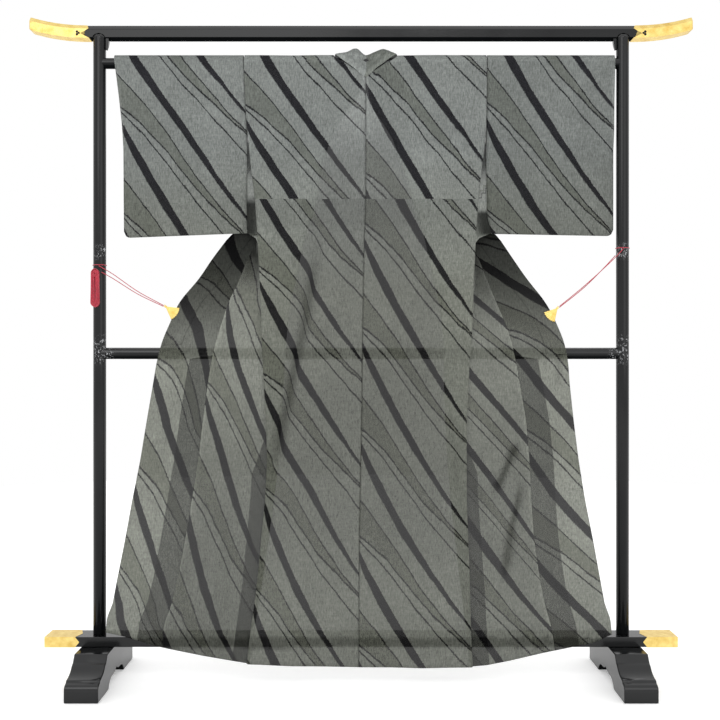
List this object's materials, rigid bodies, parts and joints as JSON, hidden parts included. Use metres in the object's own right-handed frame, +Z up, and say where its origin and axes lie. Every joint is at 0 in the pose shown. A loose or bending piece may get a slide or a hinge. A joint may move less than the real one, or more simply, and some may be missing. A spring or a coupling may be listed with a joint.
{
  "type": "summer kimono on a kimono stand",
  "caption": "Unlined sheer summer kimono with oblique wavering stripes, hung open on a lacquered two-post stand that clips draw its fronts out to.",
  "frame": {"origin": "on the floor, midway between the two feet of the stand", "axes": "+Z up, +X along the rails to the wearer's right sleeve as seen from behind, +Y from the back of the kimono to its fronts"},
  "size_m": [1.788, 0.355, 1.7906],
  "materials": {
    "cloth": "sheer matt weave with black stripes",
    "lacquer": "black gloss lacquer",
    "gilt": "polished gilt",
    "cord": "matt twisted cord"
  },
  "bodies": {
    "root": {"body_left": "cloth", "body_right": "cloth", "sleeve_left": "cloth", "sleeve_right": "cloth", "okumi_left": "cloth", "okumi_right": "cloth", "collar": "cloth", "foot_left": "lacquer", "foot_right": "lacquer", "post_left": "lacquer", "post_right": "lacquer", "bracket_left": "lacquer", "bracket_right": "lacquer", "base_rail": "lacquer", "middle_rail": "lacquer", "kimono_rod": "lacquer", "top_bar": "lacquer", "base_cap_left": "gilt", "base_cap_right": "gilt", "top_cap_left": "gilt", "top_cap_right": "gilt", "clip_left": "gilt", "clip_right": "gilt", "cord_left_upper": "cord", "cord_left_lower": "cord", "cord_right_upper": "cord", "cord_right_lower": "cord", "cord_wrap_left": "cord", "cord_wrap_right": "cord", "cord_hank": "cord"}
  },
  "joints": []
}
